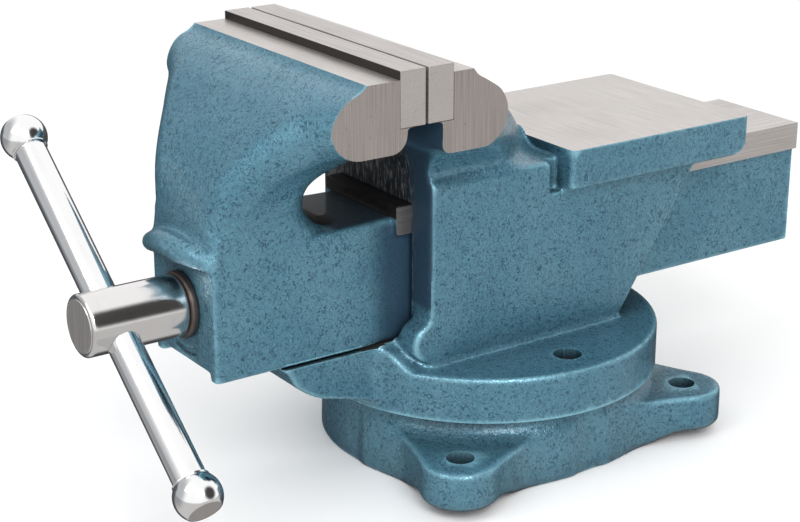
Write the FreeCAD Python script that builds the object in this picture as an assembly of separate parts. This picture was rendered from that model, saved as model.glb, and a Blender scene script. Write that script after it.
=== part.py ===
"""Bench vise, 150 mm jaws, with anvil and swivel base.

Frame: origin on the swivel axis at the bench plane, +Z up, +Y from the handle towards the
rear of the vise, +X to the right of a person at the handle. Units are millimetres.
"""
import FreeCAD, Part
import math
import os

V = FreeCAD.Vector
X_AXIS = V(1, 0, 0)
Y_AXIS = V(0, 1, 0)
Z_AXIS = V(0, 0, 1)

# ---------------------------------------------------------------- driving dimensions
# jaws
JAW_HALF = 75.0            # half of the 150 mm jaw width
PLATE_BOTTOM = 186.3
PLATE_TOP = 211.7
CAST_TOP = 207.7           # top of both jaw castings, under the plates' tops
PLATE_THICK = 13.4
PLATE_GAP = 1.5            # opening between the plates at rest
GRIP_Y = -87.45            # middle of that opening
PLATE_SCREW_X = 45.0
PLATE_SCREW_Z = 197.0
PLATE_SCREW_R = 5.0
PLATE_SCREW_HEAD_R = 9.5
PLATE_SCREW_HEAD = 5.5
PLATE_SCREW_SUNK = 0.6     # head below the grip face
PLATE_SCREW_SOCKET = 3.5
PLATE_SCREW_REACH = 16.0   # length in the casting
MOVABLE_FRONT = -119.4     # front edge of the movable jaw's machined top
MOVABLE_BACK = -97.7       # casting face under the movable plate
MOVABLE_HORN_LOW = 175.5   # underside of the jaw at its ends
MOVABLE_FLARE = 47.0       # radius of the blend from the slide up to the jaw's ends
MOVABLE_UNDER_ROUND = 8.0
MOVABLE_RIDGE_ROUND = 5.0
FIXED_REAR = -62.7         # rear edge of the fixed jaw's machined top
FIXED_BACK = -79.0         # casting face under the fixed plate
FIXED_FLARE_RISE = 24.5
FIXED_UNDER_ROUND = 12.0
FIXED_RIDGE_ROUND = 5.0
# slide bar of the movable jaw
SLIDE_FRONT = -169.4
SLIDE_REAR = 187.9
SLIDE_BOTTOM = 68.4
SLIDE_FRONT_HALF = 29.0
SLIDE_FRONT_TOP = 128.5
SLIDE_SIDE_HALF = 27.3
RAIL_HALF = 30.3           # machined rail along the top of the slide
RAIL_LOW = 120.3
RAIL_TOP = 134.5
RAIL_START = -73.0
RAIL_RUNOUT = 14.0
CHANNEL_HALF = 19.5        # hollow of the slide, open downwards
CHANNEL_TOP = 118.0
FRONT_WALL = 22.0
SLIDE_CORNER = 4.0
FOOT_RELIEF_HALF = 22.5    # the front wall stops short of the slide's underside here
FOOT_RELIEF_TOP = 71.4
BROW_LOW = 120.6           # underside of the rib over the screw
BROW_REACH = 9.5
BROW_ARC = 60.0
BROW_ARC_Z = 77.0
SLIDE_GAP = 0.3            # running clearance of the slide in the body
# lead screw
SCREW_Z = 98.3
THREAD_R = 12.0
RUN_GAP = 0.08             # radial running clearance
HEAD_R = 14.5
HEAD_FRONT = -221.0
HEAD_REAR = -173.1
HEAD_CHAMFER = 1.6
SCREW_END = 150.0
COLLAR_R = 15.6
COLLAR_GAP = 0.1           # end play between the screw's head and the collar
SCREW_TIP_CHAMFER = 2.0
BOSS_GROOVE_R = 24.0
BOSS_GROOVE = 1.6          # width of the groove
# handle
HANDLE_Y = -205.0
HANDLE_TILT = 143.0        # degrees from +X towards +Z, the upper end
BAR_R = 7.7
KNOB_R = 11.0
UPPER_REACH = 106.0        # screw axis to the upper ball's centre
LOWER_REACH = 93.5
KNOB_FLAT = 7.5            # ball centre to its flat outer end
# retaining parts behind the front wall
SPRING_R = 15.2
SPRING_WIRE_R = 1.5
SPRING_PITCH = 4.6
SPRING_TURNS = 2.0
RETAINER_R = 16.5
RETAINER_THICK = 3.5
PIN_R = 2.5
PIN_HALF = 15.5
# screw nut
NUT_HALF = 18.8
NUT_FRONT = -60.0
NUT_REAR = -16.0
NUT_TOP = 115.7
NUT_SCREW_Y = (-50.0, -26.0)
NUT_SCREW_SEAT = 45.2      # under the heads of the screws that hold the nut
NUT_SCREW_COVER = 4.0      # iron left between their tips and the lead screw
M8_R = 4.0
M8_HOLE_R = 4.5
M8_HEAD_R = 6.5
M8_HEAD = 8.0
M8_SOCKET_AF = 6.0
# body
FLANGE_R = 87.2
FLANGE_LOW = 35.2
FLANGE_TOP = 57.4
FLANGE_ROUND = 2.0
BODY_HALF = 46.8
BODY_FRONT = -64.5
BODY_SIDE_END = 46.0
BODY_SHOULDER = 147.0
SHOULDER_CORE = 140.0      # where the jaw block starts inside the body
TONGUE_HALF = 30.0
TONGUE_TOP = 66.9
TONGUE_FRONT = -134.7
TONGUE_LOW = 37.7
GUSSET_TOP_Y = 108.3
GUSSET_FOOT_Y = 52.0
GUSSET_REAR_HALF = 41.0
EAR_R = 13.2
EAR_Z = 70.5
EAR_INNER = 32.5
EAR_OUTER = 46.3
NOTCH_HALF = 41.0          # recess between jaw body and anvil, outside this half-width
NOTCH_START = 6.0
ANVIL_HALF = 53.7
ANVIL_FRONT = 11.0
ANVIL_REAR = 127.5
ANVIL_LOW = 132.7
ANVIL_TOP = 152.7
ANVIL_ROUND = 9.0
LOCK_RADIUS = 69.0         # lock bolts from the swivel axis
LOCK_COUNTERBORE_R = 6.95
LOCK_COUNTERBORE = 14.0
LOCK_WASHER = 2.0
LOCK_PLAY = 0.1            # under the head of a lock bolt
# swivel base
BASE_LOW_R = 83.0
BASE_HIGH_R = 81.0
BASE_TOP = 34.9
BASE_ROUND = 3.0
BASE_TURN = 3.0            # degrees that the base stands turned against the body
LUG_ANGLES = (-45.0, 45.0, 180.0)
LUG_HOLE_RADIUS = 102.5    # lug holes from the swivel axis
LUG_HOLE_R = 6.65
LUG_END_R = 19.5
LUG_ROOT = 74.0            # where a lug starts inside the drum
LUG_ROOT_HALF = 29.0
LUG_NECK = 92.25
LUG_NECK_HALF = 20.7
LUG_LOW = 5.0
LUG_TOP = 23.7
GROOVE_HALF = 4.75
TEE_HALF = 8.0
TEE_LOW = 14.0
TEE_HIGH = 24.0
TEE_NUT_HALF = 7.3
TEE_ENTRY_R = 11.0         # hole through which the tee nuts enter the groove
PIVOT_R = 8.0
PIVOT_BORE_GAP = 0.1
PIVOT_PLATE = 18.0         # underside of the base's centre plate
PIVOT_RECESS_R = 22.0
PIVOT_TOP = 62.0
PIVOT_HEAD_AF = 24.0
PIVOT_HEAD = 10.0
PIVOT_WASHER = 3.0
PIVOT_WASHER_R = 16.0
FIT_GAP = 0.3              # clearance of loose parts

QUARTER = math.sqrt(0.5)   # sine of 45 degrees
FAR = 300.0                # beyond every casting
OVER = 1.0                 # how far a cutter runs past a face


# ---------------------------------------------------------------- helpers
def box(x0, x1, y0, y1, z0, z1):
    return Part.makeBox(x1 - x0, y1 - y0, z1 - z0, V(x0, y0, z0))


def rod(radius, start, end):
    axis = end - start
    return Part.makeCylinder(radius, axis.Length, start, axis)


def curve(points):
    spline = Part.BSplineCurve()
    spline.interpolate(points)
    return spline.toShape()


def outline(*runs):
    """Closed face. A run of two points is a line, a longer run is a smooth curve."""
    edges = []
    for run in runs:
        if len(run) == 2:
            edges.append(Part.makeLine(run[0], run[1]))
        else:
            edges.append(curve(run))
    edges.append(Part.makeLine(runs[-1][-1], runs[0][0]))
    return Part.Face(Part.Wire(edges))


def yz(*points):
    return [V(-JAW_HALF, y, z) for y, z in points]


def xz(y, *points):
    return [V(x, y, z) for x, z in points]


def xy(z, *points):
    return [V(x, y, z) for x, y in points]


def mirrored(shape):
    return shape.fuse(shape.mirror(V(0, 0, 0), X_AXIS))


def joined(first, *others):
    return first.fuse(list(others)).removeSplitter()


def hexagon(across_flats, height, base):
    """Upright hexagonal prism."""
    radius = across_flats / math.sqrt(3)
    corners = [V(base.x + radius * math.cos(math.radians(60 * k)),
                 base.y + radius * math.sin(math.radians(60 * k)), base.z) for k in range(7)]
    return Part.Face(Part.makePolygon(corners)).extrude(V(0, 0, height))


def socket_bolt(x, y, head_base, tip, height):
    """Cap screw along Z. A positive height puts the head above head_base."""
    side = math.copysign(1.0, height)
    head = rod(M8_HEAD_R, V(x, y, head_base), V(x, y, head_base + height))
    shank = rod(M8_R, V(x, y, head_base), V(x, y, tip))
    socket_depth = 0.55 * abs(height)
    socket_low = head_base + height - socket_depth if side > 0 else head_base + height
    socket = hexagon(M8_SOCKET_AF, socket_depth, V(x, y, socket_low))
    return joined(head, shank).cut(socket)


def countersunk_screw(x, face_y, inward):
    """Plate screw along Y, its head flush with the grip face and its shank going inward."""
    z = PLATE_SCREW_Z
    sunk = face_y + inward * PLATE_SCREW_SUNK
    neck = sunk + inward * PLATE_SCREW_HEAD
    tip = face_y + inward * (PLATE_THICK + PLATE_SCREW_REACH)
    cone = Part.makeCone(PLATE_SCREW_HEAD_R, PLATE_SCREW_R, PLATE_SCREW_HEAD,
                         V(x, sunk, z), V(0, inward, 0))
    shank = rod(PLATE_SCREW_R, V(x, neck, z), V(x, tip, z))
    socket = hexagon(M8_SOCKET_AF, PLATE_SCREW_SOCKET, V(0, 0, 0))
    socket.rotate(V(0, 0, 0), X_AXIS, -90 * inward)
    socket.translate(V(x, sunk, z))
    return joined(cone, shank).cut(socket)


def plate_screw_space(x, face_y, inward):
    """What one plate screw takes out of its plate and its casting."""
    z = PLATE_SCREW_Z
    sunk = face_y + inward * PLATE_SCREW_SUNK
    tip = face_y + inward * (PLATE_THICK + PLATE_SCREW_REACH)
    mouth = rod(PLATE_SCREW_HEAD_R, V(x, face_y - inward, z), V(x, sunk, z))
    cone = Part.makeCone(PLATE_SCREW_HEAD_R, PLATE_SCREW_R, PLATE_SCREW_HEAD,
                         V(x, sunk, z), V(0, inward, 0))
    hole = rod(PLATE_SCREW_R, V(x, sunk, z), V(x, tip, z))
    return joined(mouth, cone, hole)


def near(value, target):
    return abs(value - target) < 2.0


def edges_spanning(shape, y_low, y_high, z_low, z_high):
    """Edges whose side-view extent is the one given, within 2 mm."""
    found = []
    for edge in shape.Edges:
        limits = edge.BoundBox
        in_y = near(limits.YMin, y_low) and near(limits.YMax, y_high)
        in_z = near(limits.ZMin, z_low) and near(limits.ZMax, z_high)
        if in_y and in_z:
            found.append(edge)
    return found


def jaw_block(side_view, end_view, top_view):
    """Jaw casting as the common part of its side, end and top outlines."""
    side = side_view.extrude(V(2 * JAW_HALF, 0, 0))
    end = mirrored(end_view.extrude(V(0, 2 * FAR, 0)))
    top = mirrored(top_view.extrude(V(0, 0, FAR)))
    return side.common(end).common(top)


MOVABLE_FACE = GRIP_Y - PLATE_GAP / 2
FIXED_FACE = GRIP_Y + PLATE_GAP / 2
MOVABLE_SEAT = MOVABLE_FACE - PLATE_THICK
FIXED_SEAT = FIXED_FACE + PLATE_THICK


# ---------------------------------------------------------------- movable jaw
def movable_jaw_head():
    side = outline(
        yz((MOVABLE_SEAT, CAST_TOP), (MOVABLE_FRONT, CAST_TOP)),
        yz((MOVABLE_FRONT, CAST_TOP), (-119.9, 205.4)),
        yz((-119.9, 205.4), (-127.0, 201.7), (-141.6, 192.0), (-155.8, 176.0), (-165.3, 160.0),
           (SLIDE_FRONT, 138.0)),
        yz((SLIDE_FRONT, 138.0), (SLIDE_FRONT, CHANNEL_TOP)),
        yz((SLIDE_FRONT, CHANNEL_TOP), (-92.0, CHANNEL_TOP)),
        yz((-92.0, CHANNEL_TOP), (-92.0, SLIDE_FRONT_TOP)),
        yz((-92.0, SLIDE_FRONT_TOP), (-108.5, 131.7), (-118.0, 139.5), (-119.9, 147.0),
           (-116.8, 154.0), (-109.7, 158.8), (-101.0, 166.0), (MOVABLE_BACK, 175.0)),
        yz((MOVABLE_BACK, 175.0), (MOVABLE_BACK, PLATE_BOTTOM)),
        yz((MOVABLE_BACK, PLATE_BOTTOM), (MOVABLE_SEAT, PLATE_BOTTOM)))
    neck_half = JAW_HALF - MOVABLE_FLARE
    neck_low = MOVABLE_HORN_LOW - MOVABLE_FLARE
    blend_x = JAW_HALF - MOVABLE_FLARE * QUARTER
    blend_z = MOVABLE_HORN_LOW - MOVABLE_FLARE * (1 - QUARTER)
    end = outline(
        xz(-FAR, (-OVER, CHANNEL_TOP), (-OVER, PLATE_TOP)),
        xz(-FAR, (-OVER, PLATE_TOP), (JAW_HALF, PLATE_TOP)),
        xz(-FAR, (JAW_HALF, PLATE_TOP), (JAW_HALF, MOVABLE_HORN_LOW)),
        xz(-FAR, (JAW_HALF, MOVABLE_HORN_LOW), (blend_x, blend_z), (neck_half, neck_low)),
        xz(-FAR, (neck_half, neck_low), (neck_half, CHANNEL_TOP)))
    top = outline(
        xy(0, (-OVER, MOVABLE_SEAT), (-OVER, SLIDE_FRONT - 5.0)),
        xy(0, (-OVER, SLIDE_FRONT - 5.0), (24.0, SLIDE_FRONT - 2.0)),
        xy(0, (24.0, SLIDE_FRONT - 2.0), (33.3, -160.9), (45.5, -149.7), (58.0, -141.6),
           (JAW_HALF, -135.5)),
        xy(0, (JAW_HALF, -135.5), (JAW_HALF, MOVABLE_BACK + 10.0)),
        xy(0, (JAW_HALF, MOVABLE_BACK + 10.0), (-OVER, MOVABLE_BACK + 10.0)))
    head = jaw_block(side, end, top).Solids[0]
    head = head.makeFillet(MOVABLE_UNDER_ROUND, edges_spanning(head, -167.0, -136.0, 128.0, 176.0))
    return head.makeFillet(MOVABLE_RIDGE_ROUND, edges_spanning(head, -169.0, -136.0, 138.0, 197.0))


def slide_bar():
    front = box(-SLIDE_FRONT_HALF, SLIDE_FRONT_HALF, SLIDE_FRONT, RAIL_START, SLIDE_BOTTOM, SLIDE_FRONT_TOP)
    corners = [e for e in front.Edges if e.BoundBox.YLength > SLIDE_CORNER]
    corners += [e for e in front.Edges if e.BoundBox.ZLength > SLIDE_CORNER and e.BoundBox.YMax < RAIL_START]
    front = front.makeFillet(SLIDE_CORNER, corners)
    web = box(-SLIDE_SIDE_HALF, SLIDE_SIDE_HALF, RAIL_START - 5.0, SLIDE_REAR, SLIDE_BOTTOM, RAIL_LOW + OVER)
    rail = box(-RAIL_HALF, RAIL_HALF, RAIL_START, SLIDE_REAR, RAIL_LOW, RAIL_TOP)
    cutter_y = RAIL_START + RAIL_RUNOUT
    wheel = rod(RAIL_RUNOUT, V(-JAW_HALF, cutter_y, RAIL_TOP), V(JAW_HALF, cutter_y, RAIL_TOP))
    corner = box(-JAW_HALF, JAW_HALF, RAIL_START, cutter_y, RAIL_LOW, RAIL_TOP).cut(wheel)
    return joined(front, web, rail.cut(corner))


def movable_jaw():
    casting = joined(slide_bar(), movable_jaw_head(), brow())
    channel = box(-CHANNEL_HALF, CHANNEL_HALF, SLIDE_FRONT + FRONT_WALL, SLIDE_REAR + OVER,
                  SLIDE_BOTTOM - OVER, CHANNEL_TOP)
    outside = on_screw_axis(HEAD_FRONT)
    bore = rod(THREAD_R + RUN_GAP, outside, on_screw_axis(SLIDE_FRONT + FRONT_WALL + OVER))
    groove_end = on_screw_axis(SLIDE_FRONT + OVER)
    groove = rod(BOSS_GROOVE_R + BOSS_GROOVE / 2, outside, groove_end)
    groove = groove.cut(rod(BOSS_GROOVE_R - BOSS_GROOVE / 2, outside, groove_end))
    foot_relief = box(-FOOT_RELIEF_HALF, FOOT_RELIEF_HALF, SLIDE_FRONT - OVER, SLIDE_FRONT + FRONT_WALL,
                      SLIDE_BOTTOM - OVER, FOOT_RELIEF_TOP)
    cutters = [channel, bore, groove, foot_relief]
    cutters += [plate_screw_space(x, MOVABLE_FACE, -1) for x in (-PLATE_SCREW_X, PLATE_SCREW_X)]
    return casting.cut(cutters)


def brow():
    """Rounded rib that arches over the screw hole."""
    half = SLIDE_FRONT_HALF - 1.0
    shoulder = SLIDE_FRONT_HALF - 7.0
    root_y = SLIDE_FRONT + 6.0
    end_y = SLIDE_FRONT - 1.0
    shoulder_y = SLIDE_FRONT - 0.7 * BROW_REACH
    profile = outline(
        xy(BROW_LOW, (-half, root_y), (-half, end_y)),
        xy(BROW_LOW, (-half, end_y), (-shoulder, shoulder_y), (0, SLIDE_FRONT - BROW_REACH),
           (shoulder, shoulder_y), (half, end_y)),
        xy(BROW_LOW, (half, end_y), (half, root_y)))
    rib = profile.extrude(V(0, 0, BROW_ARC))
    over = rod(BROW_ARC, V(0, SLIDE_FRONT - 2 * BROW_REACH, BROW_ARC_Z), V(0, root_y, BROW_ARC_Z))
    return rib.common(over)


def jaw_plate(face_y, inward):
    low_y = min(face_y, face_y + inward * PLATE_THICK)
    plate = box(-JAW_HALF, JAW_HALF, low_y, low_y + PLATE_THICK, PLATE_BOTTOM, PLATE_TOP)
    return plate.cut([plate_screw_space(x, face_y, inward) for x in (-PLATE_SCREW_X, PLATE_SCREW_X)])


def plate_screws(face_y, inward):
    screws = [countersunk_screw(x, face_y, inward) for x in (-PLATE_SCREW_X, PLATE_SCREW_X)]
    return Part.makeCompound(screws)


# ---------------------------------------------------------------- screw and handle
def on_screw_axis(y):
    return V(0, y, SCREW_Z)


def handle_point(distance):
    tilt = math.radians(HANDLE_TILT)
    return V(distance * math.cos(tilt), HANDLE_Y, SCREW_Z + distance * math.sin(tilt))


def lead_screw():
    head = rod(HEAD_R, on_screw_axis(HEAD_FRONT), on_screw_axis(HEAD_REAR))
    ends = [e for e in head.Edges if e.BoundBox.YLength < 0.1]
    head = head.makeChamfer(HEAD_CHAMFER, ends)
    shaft = rod(THREAD_R, on_screw_axis(HEAD_REAR), on_screw_axis(SCREW_END))
    shaft_end = [e for e in shaft.Edges if e.BoundBox.YMin > SCREW_END - 0.1]
    shaft = shaft.makeChamfer(SCREW_TIP_CHAMFER, shaft_end)
    cross_hole = rod(BAR_R + RUN_GAP, handle_point(-2 * HEAD_R), handle_point(2 * HEAD_R))
    return joined(head, shaft).cut([cross_hole, retainer_pin()])


def thrust_collar():
    outer = rod(COLLAR_R, on_screw_axis(HEAD_REAR + COLLAR_GAP), on_screw_axis(SLIDE_FRONT))
    return outer.cut(rod(THREAD_R + RUN_GAP, on_screw_axis(HEAD_REAR), on_screw_axis(SLIDE_FRONT + OVER)))


SPRING_START = SLIDE_FRONT + FRONT_WALL + FIT_GAP + SPRING_WIRE_R
WASHER_START = SPRING_START + SPRING_PITCH * SPRING_TURNS + SPRING_WIRE_R
PIN_Y = WASHER_START + RETAINER_THICK + PIN_R


def retainer_spring():
    helix = Part.makeHelix(SPRING_PITCH, SPRING_PITCH * SPRING_TURNS, SPRING_R)
    wire_section = Part.Wire([Part.makeCircle(SPRING_WIRE_R, V(SPRING_R, 0, 0), Y_AXIS)])
    spring = Part.Wire(helix.Edges).makePipeShell([wire_section], True, True)
    spring.rotate(V(0, 0, 0), X_AXIS, -90)
    spring.translate(on_screw_axis(SPRING_START))
    return spring


def retainer_washer():
    outer = rod(RETAINER_R, on_screw_axis(WASHER_START), on_screw_axis(WASHER_START + RETAINER_THICK))
    return outer.cut(rod(THREAD_R, on_screw_axis(WASHER_START - OVER), on_screw_axis(PIN_Y)))


def retainer_pin():
    return rod(PIN_R, V(-PIN_HALF, PIN_Y, SCREW_Z), V(PIN_HALF, PIN_Y, SCREW_Z))


def handle_bar():
    return rod(BAR_R, handle_point(-LOWER_REACH), handle_point(UPPER_REACH))


def handle_knob(reach):
    """Ball with a flat outer end, turned with a socket for the bar."""
    centre = handle_point(reach)
    outward = handle_point(reach + math.copysign(OVER, reach)) - centre
    flat_r = math.sqrt(KNOB_R ** 2 - KNOB_FLAT ** 2)
    mouth_z = -math.sqrt(KNOB_R ** 2 - BAR_R ** 2)
    profile = Part.Face(Part.Wire([
        Part.makeLine(V(0, 0, 0), V(0, 0, KNOB_FLAT)),
        Part.makeLine(V(0, 0, KNOB_FLAT), V(flat_r, 0, KNOB_FLAT)),
        Part.Arc(V(flat_r, 0, KNOB_FLAT), V(KNOB_R, 0, 0), V(BAR_R, 0, mouth_z)).toShape(),
        Part.makeLine(V(BAR_R, 0, mouth_z), V(BAR_R, 0, 0)),
        Part.makeLine(V(BAR_R, 0, 0), V(0, 0, 0))]))
    ball = profile.revolve(V(0, 0, 0), Z_AXIS, 360)
    ball.Placement = FreeCAD.Placement(centre, FreeCAD.Rotation(Z_AXIS, outward))
    return ball


# ---------------------------------------------------------------- nut
def spindle_nut():
    floor = SLIDE_BOTTOM - SLIDE_GAP
    hole_end = SCREW_Z - THREAD_R - NUT_SCREW_COVER
    foot = box(-NUT_HALF, NUT_HALF, NUT_FRONT, NUT_REAR, floor, SCREW_Z)
    crown = rod(NUT_TOP - SCREW_Z, on_screw_axis(NUT_FRONT), on_screw_axis(NUT_REAR))
    bore = rod(THREAD_R + RUN_GAP, on_screw_axis(NUT_FRONT - OVER), on_screw_axis(NUT_REAR + OVER))
    holes = [rod(M8_R, V(0, y, floor - OVER), V(0, y, hole_end)) for y in NUT_SCREW_Y]
    return joined(foot, crown).cut([bore] + holes)


def nut_screws():
    tip = SCREW_Z - THREAD_R - NUT_SCREW_COVER
    return Part.makeCompound([socket_bolt(0, y, NUT_SCREW_SEAT, tip, -M8_HEAD) for y in NUT_SCREW_Y])


# ---------------------------------------------------------------- fixed body
def fixed_jaw_head():
    base_z = SHOULDER_CORE
    side = outline(
        yz((FIXED_SEAT, CAST_TOP), (FIXED_REAR, CAST_TOP)),
        yz((FIXED_REAR, CAST_TOP), (-62.2, 205.6)),
        yz((-62.2, 205.6), (-56.3, 201.8), (-44.0, 194.5), (-10.0, 172.0), (13.0, ANVIL_TOP)),
        yz((13.0, ANVIL_TOP), (13.0, base_z)),
        yz((13.0, base_z), (BODY_FRONT, base_z)),
        yz((BODY_FRONT, base_z), (BODY_FRONT - 1.0, 150.0), (-70.0, 162.0), (FIXED_BACK, 172.6)),
        yz((FIXED_BACK, 172.6), (FIXED_BACK, PLATE_BOTTOM)),
        yz((FIXED_BACK, PLATE_BOTTOM), (FIXED_SEAT, PLATE_BOTTOM)))
    horn_low = BODY_SHOULDER + FIXED_FLARE_RISE
    blend_x = JAW_HALF - (JAW_HALF - BODY_HALF) * QUARTER
    blend_z = BODY_SHOULDER + FIXED_FLARE_RISE * QUARTER
    end = outline(
        xz(-FAR, (-OVER, base_z), (-OVER, PLATE_TOP)),
        xz(-FAR, (-OVER, PLATE_TOP), (JAW_HALF, PLATE_TOP)),
        xz(-FAR, (JAW_HALF, PLATE_TOP), (JAW_HALF, horn_low)),
        xz(-FAR, (JAW_HALF, horn_low), (blend_x, blend_z), (BODY_HALF, BODY_SHOULDER)),
        xz(-FAR, (BODY_HALF, BODY_SHOULDER), (BODY_HALF, base_z)))
    front_y = MOVABLE_FRONT
    top = outline(
        xy(0, (-OVER, front_y), (JAW_HALF, front_y)),
        xy(0, (JAW_HALF, front_y), (JAW_HALF, -44.5)),
        xy(0, (JAW_HALF, -44.5), (58.0, -37.0), (45.0, -25.5), (30.0, -10.0), (20.0, 1.0), (14.0, 14.0)),
        xy(0, (14.0, 14.0), (-OVER, 14.0)))
    head = jaw_block(side, end, top).Solids[0]
    head = head.makeFillet(FIXED_UNDER_ROUND, edges_spanning(head, -44.0, -27.0, 147.0, 172.0))
    return head.makeFillet(FIXED_RIDGE_ROUND, edges_spanning(head, -44.0, 13.0, 153.0, 195.0))


def body_cheeks():
    core_low = 0.5 * (FLANGE_LOW + FLANGE_TOP)
    gusset_top = ANVIL_LOW + 2.0
    block = box(-BODY_HALF, BODY_HALF, BODY_FRONT, BODY_SIDE_END, core_low, BODY_SHOULDER)
    rear = outline(
        yz((BODY_SIDE_END - OVER, core_low), (BODY_SIDE_END - OVER, gusset_top)),
        yz((BODY_SIDE_END - OVER, gusset_top), (GUSSET_TOP_Y, gusset_top)),
        yz((GUSSET_TOP_Y, gusset_top), (GUSSET_FOOT_Y, FLANGE_TOP)),
        yz((GUSSET_FOOT_Y, FLANGE_TOP), (GUSSET_FOOT_Y, core_low)))
    gusset = rear.extrude(V(2 * JAW_HALF, 0, 0))
    taper = outline(
        xy(0, (-OVER, 0), (BODY_HALF, 0)),
        xy(0, (BODY_HALF, 0), (BODY_HALF, BODY_SIDE_END)),
        xy(0, (BODY_HALF, BODY_SIDE_END), (GUSSET_REAR_HALF, ANVIL_REAR)),
        xy(0, (GUSSET_REAR_HALF, ANVIL_REAR), (-OVER, ANVIL_REAR)))
    return block, gusset.common(mirrored(taper.extrude(V(0, 0, FAR))))


def tongue():
    root_y = BODY_FRONT + 10.0
    face = outline(
        yz((root_y, TONGUE_TOP), (TONGUE_FRONT, TONGUE_TOP)),
        yz((TONGUE_FRONT, TONGUE_TOP), (-132.0, 65.2)),
        yz((-132.0, 65.2), (-128.0, 56.8), (-120.6, 50.9), (-112.5, 46.8)),
        yz((-112.5, 46.8), (-75.8, TONGUE_LOW)),
        yz((-75.8, TONGUE_LOW), (root_y, TONGUE_LOW)))
    side = box(-TONGUE_HALF, TONGUE_HALF, TONGUE_FRONT - OVER, root_y, TONGUE_LOW - OVER, TONGUE_TOP)
    return face.extrude(V(2 * JAW_HALF, 0, 0)).common(side)


def anvil():
    block = box(-ANVIL_HALF, ANVIL_HALF, ANVIL_FRONT, ANVIL_REAR, ANVIL_LOW, ANVIL_TOP)
    rear_edges = [e for e in block.Edges if e.BoundBox.YMin > ANVIL_REAR - OVER]
    low_rear = [e for e in rear_edges if e.BoundBox.ZMax < ANVIL_LOW + OVER]
    return block.makeFillet(ANVIL_ROUND, low_rear)


def lock_hole(x):
    wide = rod(LOCK_COUNTERBORE_R, V(x, 0, FLANGE_TOP - LOCK_COUNTERBORE), V(x, 0, FLANGE_TOP + 1))
    return wide.fuse(rod(M8_HOLE_R, V(x, 0, FLANGE_LOW - 1), V(x, 0, FLANGE_TOP)))


def ear(side):
    return rod(EAR_R, V(side * EAR_INNER, BODY_FRONT, EAR_Z), V(side * EAR_OUTER, BODY_FRONT, EAR_Z))


def notch(side):
    inner = side * NOTCH_HALF
    outer = side * ANVIL_HALF
    return box(min(inner, outer), max(inner, outer), NOTCH_START, ANVIL_FRONT,
               ANVIL_LOW + OVER, ANVIL_TOP + OVER)


def fixed_body():
    flange = Part.makeCylinder(FLANGE_R, FLANGE_TOP - FLANGE_LOW, V(0, 0, FLANGE_LOW))
    rim = [e for e in flange.Edges if e.BoundBox.ZMin > FLANGE_TOP - OVER]
    flange = flange.makeFillet(FLANGE_ROUND, rim)
    block, gusset = body_cheeks()
    casting = joined(flange, block, gusset, tongue(), anvil(), fixed_jaw_head(), ear(-1), ear(1))
    half = RAIL_HALF + SLIDE_GAP
    low = SLIDE_BOTTOM - SLIDE_GAP
    front_y = TONGUE_FRONT - OVER
    cutters = [
        box(-half, half, FIXED_BACK - OVER, ANVIL_REAR + OVER, low, RAIL_TOP + SLIDE_GAP),
        box(-half, half, front_y, BODY_FRONT, TONGUE_TOP, low + OVER),
        rod(PIVOT_R, V(0, 0, FLANGE_LOW - OVER), V(0, 0, PIVOT_TOP)),
        notch(-1),
        notch(1)]
    cutters += [lock_hole(x) for x in (-LOCK_RADIUS, LOCK_RADIUS)]
    cutters += [plate_screw_space(x, FIXED_FACE, 1) for x in (-PLATE_SCREW_X, PLATE_SCREW_X)]
    for y in NUT_SCREW_Y:
        cutters.append(rod(M8_HEAD_R + FIT_GAP, V(0, y, FLANGE_LOW - OVER), V(0, y, NUT_SCREW_SEAT)))
        cutters.append(rod(M8_HOLE_R, V(0, y, FLANGE_LOW), V(0, y, low + OVER)))
    return casting.cut(cutters)


# ---------------------------------------------------------------- swivel base and its fasteners
def lug(angle):
    """Bolting lug with a round end and flanks that spread into the base."""
    corner = LUG_END_R * QUARTER
    tip = LUG_HOLE_RADIUS + LUG_END_R
    plan = outline(
        xy(LUG_LOW, (LUG_ROOT, -LUG_ROOT_HALF), (LUG_NECK, -LUG_NECK_HALF), (LUG_HOLE_RADIUS, -LUG_END_R)),
        xy(LUG_LOW, (LUG_HOLE_RADIUS, -LUG_END_R), (LUG_HOLE_RADIUS + corner, -corner), (tip, 0),
           (LUG_HOLE_RADIUS + corner, corner), (LUG_HOLE_RADIUS, LUG_END_R)),
        xy(LUG_LOW, (LUG_HOLE_RADIUS, LUG_END_R), (LUG_NECK, LUG_NECK_HALF), (LUG_ROOT, LUG_ROOT_HALF)))
    shape = plan.extrude(V(0, 0, LUG_TOP - LUG_LOW))
    shape.rotate(V(0, 0, 0), Z_AXIS, angle)
    return shape


def lug_hole(angle):
    turn = math.radians(angle)
    x = LUG_HOLE_RADIUS * math.cos(turn)
    y = LUG_HOLE_RADIUS * math.sin(turn)
    return rod(LUG_HOLE_R, V(x, y, -OVER), V(x, y, BASE_TOP))


def ring(inner, outer, low, high):
    solid = Part.makeCylinder(outer, high - low, V(0, 0, low))
    return solid.cut(Part.makeCylinder(inner, high - low, V(0, 0, low)))


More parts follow.
